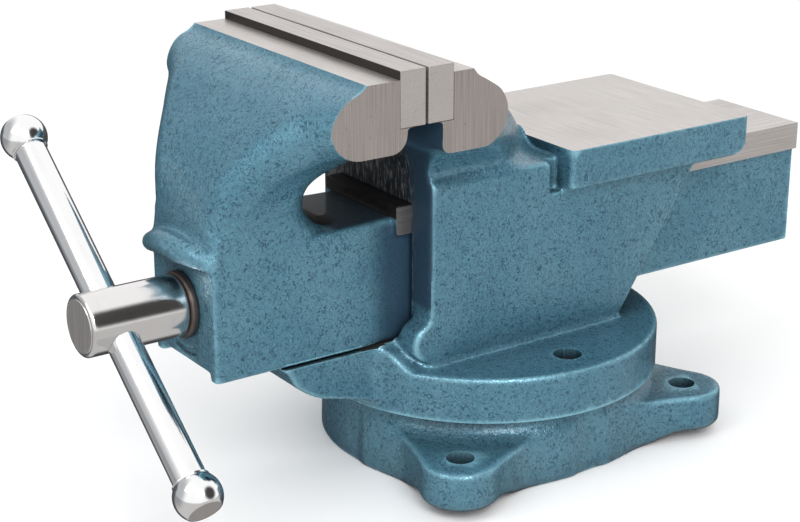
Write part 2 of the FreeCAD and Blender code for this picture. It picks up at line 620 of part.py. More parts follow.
def swivel_base():
    drum = Part.makeCone(BASE_LOW_R, BASE_HIGH_R, BASE_TOP)
    rim = [e for e in drum.Edges if e.BoundBox.ZMin > BASE_TOP - OVER]
    drum = drum.makeFillet(BASE_ROUND, rim)
    angles = [BASE_TURN + angle for angle in LUG_ANGLES]
    casting = joined(drum, *[lug(angle) for angle in angles])
    over_top = BASE_TOP + OVER
    cutters = [
        ring(LOCK_RADIUS - GROOVE_HALF, LOCK_RADIUS + GROOVE_HALF, TEE_HIGH - OVER, over_top),
        ring(LOCK_RADIUS - TEE_HALF, LOCK_RADIUS + TEE_HALF, TEE_LOW, TEE_HIGH),
        rod(TEE_ENTRY_R, V(0, LOCK_RADIUS, TEE_LOW), V(0, LOCK_RADIUS, over_top)),
        rod(PIVOT_RECESS_R, V(0, 0, -OVER), V(0, 0, PIVOT_PLATE)),
        rod(PIVOT_R + PIVOT_BORE_GAP, V(0, 0, 0), V(0, 0, over_top))]
    cutters += [lug_hole(angle) for angle in angles]
    return casting.cut(cutters)


LOCK_SEAT = FLANGE_TOP - LOCK_COUNTERBORE + LOCK_WASHER + LOCK_PLAY


def lock_bolt(x):
    return socket_bolt(x, 0, LOCK_SEAT, TEE_LOW + OVER, M8_HEAD)


def lock_washers():
    low = FLANGE_TOP - LOCK_COUNTERBORE
    washers = []
    for x in (-LOCK_RADIUS, LOCK_RADIUS):
        outer = rod(M8_HEAD_R - LOCK_PLAY, V(x, 0, low), V(x, 0, low + LOCK_WASHER))
        washers.append(outer.cut(rod(M8_R + LOCK_PLAY, V(x, 0, low - OVER), V(x, 0, LOCK_SEAT))))
    return Part.makeCompound(washers)


def tee_nuts():
    low = TEE_LOW + OVER
    high = TEE_HIGH - FIT_GAP
    half = TEE_NUT_HALF
    nuts = []
    for x in (-LOCK_RADIUS, LOCK_RADIUS):
        block = box(x - half, x + half, -half, half, low, high)
        nuts.append(block.cut(rod(M8_R + RUN_GAP, V(x, 0, low - OVER), V(x, 0, high + OVER))))
    return Part.makeCompound(nuts)


PIVOT_SEAT = PIVOT_PLATE - FIT_GAP - PIVOT_WASHER


def pivot_bolt():
    head = hexagon(PIVOT_HEAD_AF, PIVOT_HEAD, V(0, 0, PIVOT_SEAT - PIVOT_HEAD))
    return joined(head, rod(PIVOT_R, V(0, 0, PIVOT_SEAT), V(0, 0, PIVOT_TOP)))


def pivot_washer():
    outer = rod(PIVOT_WASHER_R, V(0, 0, PIVOT_SEAT), V(0, 0, PIVOT_SEAT + PIVOT_WASHER))
    return outer.cut(rod(PIVOT_R, V(0, 0, PIVOT_SEAT - OVER), V(0, 0, PIVOT_PLATE)))


# ---------------------------------------------------------------- build
PARTS = {
    "swivel_base": swivel_base,
    "fixed_body": fixed_body,
    "movable_jaw": movable_jaw,
    "fixed_jaw_plate": lambda: jaw_plate(FIXED_FACE, 1),
    "movable_jaw_plate": lambda: jaw_plate(MOVABLE_FACE, -1),
    "fixed_plate_screws": lambda: plate_screws(FIXED_FACE, 1),
    "movable_plate_screws": lambda: plate_screws(MOVABLE_FACE, -1),
    "lead_screw": lead_screw,
    "thrust_collar": thrust_collar,
    "retainer_spring": retainer_spring,
    "retainer_washer": retainer_washer,
    "retainer_pin": retainer_pin,
    "spindle_nut": spindle_nut,
    "nut_screws": nut_screws,
    "handle_bar": handle_bar,
    "handle_knob_upper": lambda: handle_knob(UPPER_REACH),
    "handle_knob_lower": lambda: handle_knob(-LOWER_REACH),
    "swivel_lock_bolt_left": lambda: lock_bolt(-LOCK_RADIUS),
    "swivel_lock_bolt_right": lambda: lock_bolt(LOCK_RADIUS),
    "swivel_lock_washers": lock_washers,
    "swivel_tee_nuts": tee_nuts,
    "pivot_bolt": pivot_bolt,
    "pivot_washer": pivot_washer,
}

os.makedirs("parts", exist_ok=True)
for name, make in PARTS.items():
    shape = make()
    print(name, len(shape.Solids), shape.isValid(), round(shape.Volume / 1000, 1), "cm3")
    shape.exportStep("parts/%s.step" % name)
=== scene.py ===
"""Looks of the bench vise. Castings grow as rounded solids in a sampled field and are then machined."""
import math

import bpy
import numpy as np
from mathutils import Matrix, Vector


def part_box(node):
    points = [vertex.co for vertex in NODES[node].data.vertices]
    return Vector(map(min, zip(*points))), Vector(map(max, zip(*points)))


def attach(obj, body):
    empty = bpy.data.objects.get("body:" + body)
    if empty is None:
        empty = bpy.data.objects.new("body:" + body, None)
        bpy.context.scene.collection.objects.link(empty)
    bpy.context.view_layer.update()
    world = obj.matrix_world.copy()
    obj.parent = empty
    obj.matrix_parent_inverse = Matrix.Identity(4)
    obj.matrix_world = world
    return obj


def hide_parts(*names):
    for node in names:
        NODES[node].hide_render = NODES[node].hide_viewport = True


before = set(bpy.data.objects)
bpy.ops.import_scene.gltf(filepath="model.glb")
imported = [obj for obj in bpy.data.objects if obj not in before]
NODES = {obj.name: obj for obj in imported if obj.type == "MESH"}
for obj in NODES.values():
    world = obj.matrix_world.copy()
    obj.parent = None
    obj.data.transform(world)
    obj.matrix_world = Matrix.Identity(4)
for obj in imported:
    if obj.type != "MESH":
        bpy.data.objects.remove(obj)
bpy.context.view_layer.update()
MM = 0.001
STEP = 1.25     # spacing of the field samples in millimetres

# ---------------------------------------------------------------- sizes in millimetres
JAW_HALF = 75.0
MOVABLE_SEAT = -101.6
FIXED_SEAT = -73.3
GRIP_Y = -87.45         # midway between the plates' grip faces
PLATE_BOTTOM = 186.3
CAST_TOP = 207.7
SLIDE_FRONT = -169.4
SLIDE_REAR = 187.9
SLIDE_BOTTOM = 67.4
SLIDE_HALF = 29.0
SLIDE_REAR_HALF = 27.3
SLIDE_TOP = 128.5
THROAT_Y = -101.2       # centre and radius of the throat's lower corner
THROAT_Z = 147.0
THROAT_R = 18.8
RAIL_HALF = 30.3
RAIL_LOW = 120.3
RAIL_TOP = 134.5
RAIL_START = -73.0
SCREW_Z = 98.3
HANDLE_Y = -205.0
UPPER_REACH = 106.0
LOWER_REACH = 93.5
KNOB_R = 11.0
KNOB_FLAT = 7.5
BAR_R = 7.7
THREAD_R = 12.0
BODY_HALF = 46.8
BODY_FRONT = -64.5
SHOULDER = 147.0
FLANGE_R = 88.8
FLANGE_LOW = 35.2
FLANGE_TOP = 57.4
ANVIL_FRONT = 12.6
ANVIL_REAR = 127.5
ANVIL_HALF = 53.7
ANVIL_LOW = 132.7
ANVIL_TOP = 152.7
NOTCH_FRONT = 5.2       # notch between the fixed jaw's shoulder and the anvil
TONGUE_FRONT = -134.7
TONGUE_HALF = 30.0
TONGUE_LOW = 37.7
TONGUE_TOP = 66.7
LOCK_RADIUS = 69.0
NUT_SCREW_YS = (-50.0, -26.0)
BASE_R = 81.9
BASE_TOP = 34.9
LUG_ANGLES = (-42.0, 48.0, 183.0)
LUG_RADIUS = 102.5      # circle of the bolt holes
LUG_HOLE_R = 6.65
LUG_TOP = 23.7
PLATE_SCREW_X = 45.0
PLATE_SCREW_Z = 197.0
PLATE_SCREW_R = 5.02
HEAD_FRONT = -221.0
HEAD_REAR = -173.1
HEAD_R = 14.5
THREAD_START = -128.0
THREAD_END = 149.0
THREAD_PITCH = 5.0
THREAD_DEPTH = 2.4
CAST_BLUR = 0.75        # softness of every cast edge
ABOVE = 230.0           # clear of the vise's top, where cutters end
ASIDE = 90.0            # clear of the jaws' ends


# ---------------------------------------------------------------- sampled fields, negative inside
class Grid:
    """Sample points of a box, as three arrays that broadcast together."""

    def __init__(self, low, high):
        self.low = np.array(low, float)
        counts = [int(math.ceil((h - l) / STEP)) + 1 for l, h in zip(low, high)]
        self.x, self.y, self.z = (
            (l + STEP * np.arange(n)).reshape([-1 if i == axis else 1 for i in range(3)]).astype(np.float32)
            for axis, (l, n) in enumerate(zip(low, counts)))


def smooth(*points, per=8):
    """Points along a Catmull-Rom curve through the given ones, the last one left out."""
    p = np.array(points, float)
    p = np.vstack([2 * p[0] - p[1], p, 2 * p[-1] - p[-2]])
    t = np.arange(per)[:, None] / per
    rows = []
    for a, b, c, d in zip(p, p[1:], p[2:], p[3:]):
        rows.append(0.5 * (2 * b + (c - a) * t + (2 * a - 5 * b + 4 * c - d) * t ** 2
                           + (3 * b - a - 3 * c + d) * t ** 3))
    return [tuple(q) for q in np.vstack(rows)]


def outline(u, v, points):
    """Signed distance to a closed outline in the plane of u and v."""
    corners = np.array(points, np.float32)
    best = np.full(np.broadcast_shapes(u.shape, v.shape), 1e12, np.float32)
    inside = np.zeros(best.shape, bool)
    for (u0, v0), (u1, v1) in zip(corners, np.roll(corners, -1, 0)):
        du, dv = u1 - u0, v1 - v0
        length2 = du * du + dv * dv
        if length2 < 1e-10:
            continue
        t = np.clip(((u - u0) * du + (v - v0) * dv) / length2, 0, 1)
        best = np.minimum(best, (u - u0 - t * du) ** 2 + (v - v0 - t * dv) ** 2)
        if v0 != v1:
            inside ^= ((v0 > v) != (v1 > v)) & (u < du * (v - v0) / dv + u0)
    return np.where(inside, -1, 1) * np.sqrt(best)


def slab(u, low, high):
    """Negative between low and high."""
    return np.maximum(low - u, u - high)


def meet(a, b, r):
    """Common part, with the edge between the two surfaces rounded to radius r."""
    return np.minimum(-r, np.maximum(a, b)) + np.hypot(np.maximum(a + r, 0), np.maximum(b + r, 0))


def join(a, b, r):
    """Both together, with a fillet of radius r between them."""
    return np.maximum(r, np.minimum(a, b)) - np.hypot(np.maximum(r - a, 0), np.maximum(r - b, 0))


def ease(value, low, high):
    """Smooth step from 0 at low to 1 at high."""
    t = np.clip((value - low) / (high - low), 0, 1)
    return t * t * (3 - 2 * t)


def beads(grid, spine, sizes):
    """A round rib along a line of points, with its radius given at even steps along it."""
    points = np.array(spine, np.float32)
    sizes = np.interp(np.linspace(0, 1, len(points)), np.linspace(0, 1, len(sizes)), sizes)
    best = None
    count = len(points) - 1
    for k in range(count):
        a, b = points[k], points[k + 1]
        way = b - a
        along = (grid.x - a[0]) * way[0] + (grid.y - a[1]) * way[1] + (grid.z - a[2]) * way[2]
        t = np.clip(along / (way @ way), 0, 1)
        gap = np.sqrt((grid.x - a[0] - t * way[0]) ** 2 + (grid.y - a[1] - t * way[1]) ** 2
                      + (grid.z - a[2] - t * way[2]) ** 2)
        gap = gap - (sizes[k] + (sizes[k + 1] - sizes[k]) * t)
        best = gap if best is None else np.minimum(best, gap)
    return best


def soften(field, sigma):
    """Gaussian blur, which rounds every edge and corner a little and leaves flats alone."""
    reach = int(math.ceil(2.5 * sigma / STEP))
    weights = np.exp(-0.5 * (np.arange(-reach, reach + 1) * STEP / sigma) ** 2)
    weights = (weights / weights.sum()).astype(np.float32)
    for axis in range(3):
        pad = [(reach, reach) if a == axis else (0, 0) for a in range(3)]
        wide = np.pad(field, pad, mode="edge")
        count = field.shape[axis]
        take = [slice(None)] * 3
        field = np.zeros_like(field)
        for k, weight in enumerate(weights):
            take[axis] = slice(k, k + count)
            field += weight * wide[tuple(take)]
    return field


def sample(field, where):
    """The field and its gradient at points given in samples, by trilinear interpolation."""
    base = np.clip(np.floor(where).astype(int), 0, np.array(field.shape) - 2)
    t = (where - base).T
    value = np.zeros(len(where))
    slope = np.zeros((len(where), 3))
    for corner in np.ndindex(2, 2, 2):
        f = field[tuple((base + corner).T)]
        w = [t[a] if corner[a] else 1 - t[a] for a in range(3)]
        s = [1 if corner[a] else -1 for a in range(3)]
        value += f * w[0] * w[1] * w[2]
        slope += np.stack([f * s[0] * w[1] * w[2], f * s[1] * w[0] * w[2], f * s[2] * w[0] * w[1]], 1)
    return value, slope


def skin(name, field, grid):
    """Surface nets of the zero level, with each vertex then settled onto it."""
    for axis in range(3):
        edge = np.moveaxis(field, axis, 0)
        edge[[0, -1]] = np.maximum(edge[[0, -1]], 0.5 * STEP)
    inside = field < 0
    cells = np.zeros([n - 1 for n in field.shape], np.int8)
    for i, j, k in np.ndindex(2, 2, 2):
        cells += inside[i:i + cells.shape[0], j:j + cells.shape[1], k:k + cells.shape[2]]
    active = np.argwhere((cells > 0) & (cells < 8))
    number = np.full(cells.shape, -1, np.int32)
    number[tuple(active.T)] = np.arange(len(active))
    total = np.zeros((len(active), 3))
    hits = np.zeros(len(active))
    for axis in range(3):
        step = np.eye(3, dtype=int)[axis]
        others = [a for a in range(3) if a != axis]
        for i, j in np.ndindex(2, 2):
            start = active.copy()
            start[:, others[0]] += i
            start[:, others[1]] += j
            f0 = field[tuple(start.T)]
            f1 = field[tuple((start + step).T)]
            crosses = (f0 < 0) != (f1 < 0)
            t = np.where(crosses, f0 / np.where(crosses, f0 - f1, 1), 0)
            total += np.where(crosses[:, None], start + t[:, None] * step, 0)
            hits += crosses
    where = total / hits[:, None]
    centre = where.copy()
    for _ in range(3):
        value, slope = sample(field, where)
        where = where - (value / np.maximum((slope ** 2).sum(1), 1e-6))[:, None] * slope
        where = np.clip(where, centre - 0.5, centre + 0.5)
    faces = []
    for axis in range(3):
        b, c = (axis + 1) % 3, (axis + 2) % 3
        low = [slice(None)] * 3
        high = [slice(None)] * 3
        low[axis] = slice(0, -1)
        high[axis] = slice(1, None)
        change = inside[tuple(low)] != inside[tuple(high)]
        edges = np.argwhere(change)
        edges = edges[(edges[:, b] > 0) & (edges[:, c] > 0)]
        edges = edges[(edges[:, b] < field.shape[b] - 1) & (edges[:, c] < field.shape[c] - 1)]
        ring = []
        for db, dc in ((1, 1), (0, 1), (0, 0), (1, 0)):
            cell = edges.copy()
            cell[:, b] -= db
            cell[:, c] -= dc
            ring.append(number[tuple(cell.T)])
        quad = np.stack(ring, 1)
        flip = ~inside[tuple(edges.T)]
        quad[flip] = quad[flip][:, ::-1]
        faces.append(quad)
    mesh = bpy.data.meshes.new(name)
    mesh.from_pydata(((grid.low + where * STEP) * MM).tolist(), [], np.vstack(faces).tolist())
    mesh.update()
    piece = bpy.data.objects.new(name, mesh)
    bpy.context.scene.collection.objects.link(piece)
    return piece


# ---------------------------------------------------------------- mesh helpers
def evaluated(piece):
    """Replaces a piece's mesh by what its modifiers make of it."""
    graph = bpy.context.evaluated_depsgraph_get()
    mesh = bpy.data.meshes.new_from_object(piece.evaluated_get(graph), depsgraph=graph)
    piece.modifiers.clear()
    piece.data = mesh
    return piece


def machine(piece, cutters):
    """Cuts the cutters out of a casting. The cut faces take the cutters' materials."""
    for cutter in cutters:
        cut = piece.modifiers.new("cut", "BOOLEAN")
        cut.operation = "DIFFERENCE"
        cut.solver = "MANIFOLD"
        cut.object = cutter
        cut.material_mode = "TRANSFER"
    evaluated(piece)
    for cutter in cutters:
        bpy.data.objects.remove(cutter)
    return piece


def shaped(name, points, faces, *materials):
    """A new piece from points in millimetres."""
    mesh = bpy.data.meshes.new(name)
    mesh.from_pydata([[c * MM for c in p] for p in points], [], faces)
    mesh.update()
    piece = bpy.data.objects.new(name, mesh)
    bpy.context.scene.collection.objects.link(piece)
    for m in materials:
        mesh.materials.append(m)
    return piece


def block(low, high, material):
    """Box-shaped cutter between two corners."""
    points = [[(low, high)[i][0], (low, high)[j][1], (low, high)[k][2]]
              for i in range(2) for j in range(2) for k in range(2)]
    faces = [(0, 1, 3, 2), (4, 6, 7, 5), (0, 4, 5, 1), (2, 3, 7, 6), (0, 2, 6, 4), (1, 5, 7, 3)]
    return shaped("cutter", points, faces, material)


def bands(rings, around, closed=False, flipped=False):
    """Quads between rings of points. A closed run of rings joins the last one to the first."""
    faces = []
    for ring in range(rings if closed else rings - 1):
        here, there = ring * around, (ring + 1) % rings * around
        for k in range(around):
            m = (k + 1) % around
            if flipped:
                faces.append((here + k, there + k, there + m, here + m))
            else:
                faces.append((here + k, here + m, there + m, there + k))
    return faces


def capped(rings, around):
    """The bands of a solid, with a face over its first and its last ring."""
    last = (rings - 1) * around
    return bands(rings, around) + [tuple(reversed(range(around))), tuple(range(last, last + around))]


def turned(name, profile, start, axis, material, around=96):
    """Solid of revolution. The profile is (distance along the axis, radius), from end to end."""
    axis = Vector(axis).normalized()
    side = axis.orthogonal().normalized()
    up = axis.cross(side)
    start = Vector(start)
    points = []
    for along, radius in profile:
        for k in range(around):
            a = 2 * math.pi * k / around
            points.append(start + axis * along + (side * math.cos(a) + up * math.sin(a)) * radius)
    return shaped(name, points, capped(len(profile), around), material)


def bore(start, axis, length, radius, material, around=96):
    """Cutter for a straight round hole."""
    return turned("cutter", [(0, radius), (length, radius)], start, axis, material, around)


def shade(piece):
    """Smooth shading, with sharp edges where faces meet at more than 30 degrees."""
    mesh = piece.data
    mesh.polygons.foreach_set("use_smooth", np.ones(len(mesh.polygons), bool))
    mesh.set_sharp_from_angle(angle=math.radians(30))


# ---------------------------------------------------------------- materials
class Shader:
    """A few short ways to place nodes in the tree of a material or of the world."""

    def __init__(self, owner, coordinates="Object"):
        owner.use_nodes = True
        self.owner = owner
        self.tree = owner.node_tree
        self.texture = self.tree.nodes.new("ShaderNodeTexCoord").outputs
        self.place = self.texture[coordinates]

    def put(self, socket, value):
        """Links a socket, or sets it to a constant."""
        if isinstance(value, bpy.types.NodeSocket):
            self.tree.links.new(value, socket)
        else:
            socket.default_value = value

    def node(self, kind, settings=None, **inputs):
        made = self.tree.nodes.new("ShaderNode" + kind)
        for key, value in (settings or {}).items():
            setattr(made, key, value)
        for key, value in inputs.items():
            self.put(made.inputs[key.replace("_", " ")], value)
        return made

    def maths(self, operation, a, b=0.0, c=0.0):
        made = self.tree.nodes.new("ShaderNodeMath")
        made.operation = operation
        for socket, value in zip(made.inputs, (a, b, c)):
            self.put(socket, value)
        return made.outputs[0]

    def mapped(self, value, low, high, to_low=0.0, to_high=1.0):
        made = self.node("MapRange", {"interpolation_type": "SMOOTHSTEP"}, Value=value)
        for key, number in (("From Min", low), ("From Max", high), ("To Min", to_low), ("To Max", to_high)):
            made.inputs[key].default_value = number
        return made.outputs["Result"]

    def mix(self, share, a, b):
        made = self.tree.nodes.new("ShaderNodeMix")
        made.data_type = "RGBA"
        self.put(made.inputs["Factor"], share)
        self.put(made.inputs["A"], a if isinstance(a, bpy.types.NodeSocket) else (*a, 1.0))
        self.put(made.inputs["B"], b if isinstance(b, bpy.types.NodeSocket) else (*b, 1.0))
        return made.outputs["Result"]

    def stretched(self, x, y, z):
        made = self.node("Mapping", Vector=self.place)
        made.inputs["Scale"].default_value = (x, y, z)
        return made.outputs["Vector"]

    def noise(self, scale, vector=None, detail=3.0, rough=0.5, twist=0.0):
        return self.node("TexNoise", Vector=vector or self.place, Scale=scale, Detail=detail,
                         Roughness=rough, Distortion=twist).outputs["Fac"]

    def part(self, name, vector=None):
        return self.node("SeparateXYZ", Vector=vector or self.place).outputs[name]

    def along(self, direction):
        made = self.node("VectorMath", {"operation": "DOT_PRODUCT"})
        self.put(made.inputs[0], self.place)
        made.inputs[1].default_value = direction
        return made.outputs["Value"]

    def times(self, *factors):
        product = factors[0]
        for factor in factors[1:]:
            product = self.maths("MULTIPLY", product, factor)
        return product

    def bump(self, *layers):
        """Bumps stacked on each other. A layer is (height from 0 to 1, depth in metres)."""
        last = None
        for height, depth in layers:
            made = self.node("Bump", Height=height, Distance=depth, Strength=1.0)
            if last:
                self.put(made.inputs["Normal"], last)
            last = made.outputs["Normal"]
        self.put(self.tree.nodes["Principled BSDF"].inputs["Normal"], last)

    def surface(self, **values):
        for key, value in values.items():
            socket = self.tree.nodes["Principled BSDF"].inputs[key.replace("_", " ")]
            if isinstance(value, tuple):
                value = (*value, 1.0)
            self.put(socket, value)
        return self.owner


THICK_BLUE = (0.076, 0.198, 0.272)
THIN_BLUE = (0.100, 0.230, 0.302)
FLAKE = (0.120, 0.335, 0.430)
STROKE = (0.020, 0.075, 0.120)
# The next colour is a painted highlight on convex edges.
EDGE_HIGHLIGHT = (0.26, 0.53, 0.64)
# The next colour is a painted highlight in concave fillets.
FILLET_HIGHLIGHT = (0.14, 0.34, 0.43)
# The next colour is painted shade for hollows and creases.
CREVICE_SHADE = (0.008, 0.020, 0.036)


def hammertone(name, bare_and_shade=None, coat=0.22):
    """Hammered enamel: a metallic blue with short dark strokes, a painted highlight on outer edges and inner
    fillets and painted shade in hollows.

    The second argument, a function, takes the shader. It gives how far a point shows unpainted iron and
    painted shade instead of this paint, and the colour there.
    """
    s = Shader(bpy.data.materials.new(name))
    strokes = s.noise(470.0, detail=3.0, rough=0.6, twist=1.8)
    dark = s.mapped(strokes, 0.50, 0.64)
    light = s.mapped(s.noise(900.0, detail=2.0, rough=0.6, twist=0.8), 0.48, 0.70)
    tone = s.mapped(s.noise(30.0, detail=4.0), 0.32, 0.68)
    base = s.mix(tone, THICK_BLUE, THIN_BLUE)
    base = s.mix(s.maths("MULTIPLY", light, 0.55), base, FLAKE)
    base = s.mix(s.maths("MULTIPLY", dark, 0.90), base, STROKE)
    pointed = s.node("NewGeometry").outputs["Pointiness"]
    # Painted highlight: convex edges, found by pointiness, are lightened.
    edge = s.mapped(pointed, 0.508, 0.560)
    base = s.mix(s.maths("MULTIPLY", edge, 0.75), base, EDGE_HIGHLIGHT)
    # Painted shade: ambient occlusion darkens the paint in hollows and creases.
    crevice_occlusion = s.node("AmbientOcclusion", {"samples": 6}, Distance=0.035)
    base = s.mix(s.mapped(crevice_occlusion.outputs["AO"], 0.10, 0.72), CREVICE_SHADE, base)
    # Painted highlight: concave fillets, found by low pointiness, are lightened.
    base = s.mix(s.mapped(pointed, 0.440, 0.484, 0.55, 0.0), base, FILLET_HIGHLIGHT)
    if bare_and_shade:
        share, bare_and_shade_colour = bare_and_shade(s)
        base = s.mix(share, base, bare_and_shade_colour)
        dark = s.maths("MAXIMUM", dark, s.maths("MULTIPLY", share, 2.6))
    gloss = s.maths("MULTIPLY_ADD", dark, 0.18, 0.25)
    s.bump((strokes, 0.00026), (s.noise(60.0, detail=2.0), 0.0004))
    return s.surface(Base_Color=base, Roughness=gloss, Metallic=0.45, Coat_Weight=coat, Coat_Roughness=0.10)


def throat_bare_iron_and_shade(s):
    """Faces in the throat are unpainted iron, coloured near-black as painted shade of the deep throat. The
    slide's side gets a painted navy shadow towards the body, which shades it.
    """
    y, z = s.part("Y"), s.part("Z")
    left = s.maths("MAXIMUM", s.maths("SUBTRACT", THROAT_Y * MM, y), 0.0)
    down = s.maths("MAXIMUM", s.maths("SUBTRACT", THROAT_Z * MM, z), 0.0)
    corner = s.maths("SQRT", s.maths("ADD", s.times(left, left), s.times(down, down)))
    rounded = s.mapped(corner, (THROAT_R - 0.6) * MM, (THROAT_R + 0.6) * MM, 1.0, 0.0)
    inside = s.times(rounded, s.mapped(z, 0.1700, 0.1800, 1.0, 0.0))
    normal = s.texture["Normal"]
    back = s.mapped(s.part("Y", normal), 0.10, 0.35)
    flat = s.mapped(s.part("Z", normal), 0.30, 0.60)
    step = s.mapped(y, -0.0760, -0.0745)
    facing = s.maths("MAXIMUM", step, s.maths("MAXIMUM", back, flat))
    bare_and_shade = s.times(inside, facing, s.mapped(z, 0.1270, 0.1283))
    # Painted shadow: the slide's side and front turn navy towards the body, which shades them.
    rear = s.times(s.mapped(y, -0.0900, -0.0740, 0.0, 0.85), s.mapped(z, 0.1240, 0.1280, 1.0, 0.0),
                   s.mapped(y, -0.0600, -0.0500, 1.0, 0.0))
    grit = s.mapped(s.noise(420.0, detail=5.0, rough=0.65), 0.35, 0.75)
    # The unpainted iron is coloured near-black as painted shade of the deep throat.
    iron = s.mix(grit, (0.004, 0.004, 0.005), (0.022, 0.020, 0.019))
    return s.maths("MAXIMUM", bare_and_shade, rear), s.mix(bare_and_shade, (0.016, 0.048, 0.090), iron)


def shaded_front(s):
    """The front of the fixed casting, which the jaw shades, darkened as painted shade: streaky dark foundry
    skin in the middle, dark navy paint at the sides.
    """
    # Painted shade: faces that look forward, under the jaw, are darkened.
    facing = s.mapped(s.part("Y", s.texture["Normal"]), -0.85, -0.50, 1.0, 0.0)
    high = s.times(s.mapped(s.part("Z"), 0.084, 0.088), s.mapped(s.part("Y"), -0.056, -0.050, 1.0, 0.0))
    streaks = s.mapped(s.noise(1.0, s.stretched(700.0, 700.0, 140.0), detail=4.0, rough=0.7), 0.48, 0.64)
    iron = s.mix(streaks, (0.005, 0.005, 0.007), (0.22, 0.21, 0.21))
    middle = s.mapped(s.part("X"), 0.024, 0.036, 1.0, 0.0)
    return s.times(facing, high, 0.93), s.mix(middle, (0.018, 0.048, 0.088), iron)


def ground_metal(name, tint, along, rough=0.30, metallic=0.9, line=0.00002, seat=None, darkening=None):
    """Machined steel or iron with fine lines. along is the way the tool went.

    seat gives how far a point is painted dark as painted shade, darkening how far it is made darker.
    """
    s = Shader(bpy.data.materials.new(name))
    fast, slow = 2600.0, 26.0
    scales = [slow if axis == along else fast for axis in "xyz"]
    lines = s.noise(1.0, s.stretched(*scales), detail=2.0)
    cloud = s.noise(22.0, detail=5.0, rough=0.6)
    pits = s.mapped(s.noise(700.0, detail=3.0), 0.66, 0.76)
    light = tuple(min(1.0, c * 1.10) for c in tint)
    dark = tuple(c * 0.80 for c in tint)
    colour = s.mix(s.mapped(lines, 0.3, 0.7), dark, light)
    colour = s.mix(s.mapped(cloud, 0.45, 0.75, 0.0, 0.35), colour, tuple(c * 0.72 for c in tint))
    colour = s.mix(s.maths("MULTIPLY", pits, 0.5), colour, tuple(c * 0.35 for c in tint))
    gloss = s.maths("MULTIPLY_ADD", cloud, 0.16, rough - 0.05)
    layers = [(lines, line)]
    if seat:
        # Painted shade: the plates' seat faces, seen in the groove beside the jaw's top, are darkened.
        colour = s.mix(seat(s), colour, (0.050, 0.044, 0.041))
        layers.append((teeth(s), 0.0005))
    if darkening:
        # The rail is darker towards its front.
        colour = s.mix(darkening(s), colour, (0.022, 0.018, 0.015))
    s.bump(*layers)
    return s.surface(Base_Color=colour, Roughness=gloss, Metallic=metallic)


def plate_seat_shade(s):
    """The faces of the jaw plates that sit against the jaws, painted dark as painted shade of the groove
    between plate and casting.
    """
    front = s.mapped(s.part("Y"), (MOVABLE_SEAT + 0.1) * MM, (MOVABLE_SEAT + 0.3) * MM, 1.0, 0.0)
    rear = s.mapped(s.part("Y"), (FIXED_SEAT - 0.3) * MM, (FIXED_SEAT - 0.1) * MM)
    return s.maths("MAXIMUM", front, rear)


def darker_rail_front(s):
    """The rail turns darker towards its front, most on its top face."""
    high = s.mapped(s.part("Z"), (RAIL_TOP - 1.0) * MM, (RAIL_TOP - 0.2) * MM, 0.5, 0.92)
    return s.maths("MULTIPLY", s.mapped(s.part("Y"), -0.062, -0.030, 1.0, 0.0), high)


def teeth(s):
    """Crossed grooves on the grip faces of the jaw plates."""
    ridges = [s.maths("PINGPONG", s.along(way), 0.0010) for way in ((0.7, 0.0, 0.7), (0.7, 0.0, -0.7))]
    lowest = s.maths("MULTIPLY", s.maths("MINIMUM", *ridges), 1000.0)
    away = s.maths("ABSOLUTE", s.maths("SUBTRACT", s.part("Y"), GRIP_Y * MM))
    return s.maths("MULTIPLY", lowest, s.mapped(away, 0.0004, 0.0006, 1.0, 0.0))


def chrome(name, tint=(0.84, 0.84, 0.845), rough=0.09):
    """Polished plating with faint turning marks, wipe marks and specks."""
    s = Shader(bpy.data.materials.new(name))
    wipe = s.noise(34.0, s.stretched(1.0, 2.2, 0.8), detail=6.0, rough=0.65)
    specks = s.mapped(s.noise(1500.0, detail=2.0), 0.70, 0.78)
    colour = s.mix(s.mapped(wipe, 0.5, 0.85, 0.0, 0.5), tint, tuple(c * 0.78 for c in tint))
    colour = s.mix(s.maths("MULTIPLY", specks, 0.4), colour, (0.16, 0.14, 0.12))
    gloss = s.maths("MULTIPLY_ADD", wipe, 0.12, rough - 0.03)
    s.bump((s.noise(240.0, detail=3.0), 0.00002))
    return s.surface(Base_Color=colour, Roughness=gloss, Metallic=1.0)


def rough_iron(name, tint, rough=0.6, metallic=0.4, grain=0.00025):
    """Bare, oiled or blackened iron with a sandy skin."""
    s = Shader(bpy.data.materials.new(name))
    sand = s.noise(650.0, detail=4.0, rough=0.6)
    patch = s.noise(45.0, detail=5.0, rough=0.6)
    colour = s.mix(s.mapped(patch, 0.35, 0.7), tint, tuple(min(1.0, c * 1.7) for c in tint))
    colour = s.mix(s.mapped(sand, 0.5, 0.75, 0.0, 0.6), colour, tuple(c * 0.45 for c in tint))
    gloss = s.maths("MULTIPLY_ADD", sand, 0.25, rough - 0.12)
    s.bump((sand, grain))
    return s.surface(Base_Color=colour, Roughness=gloss, Metallic=metallic)


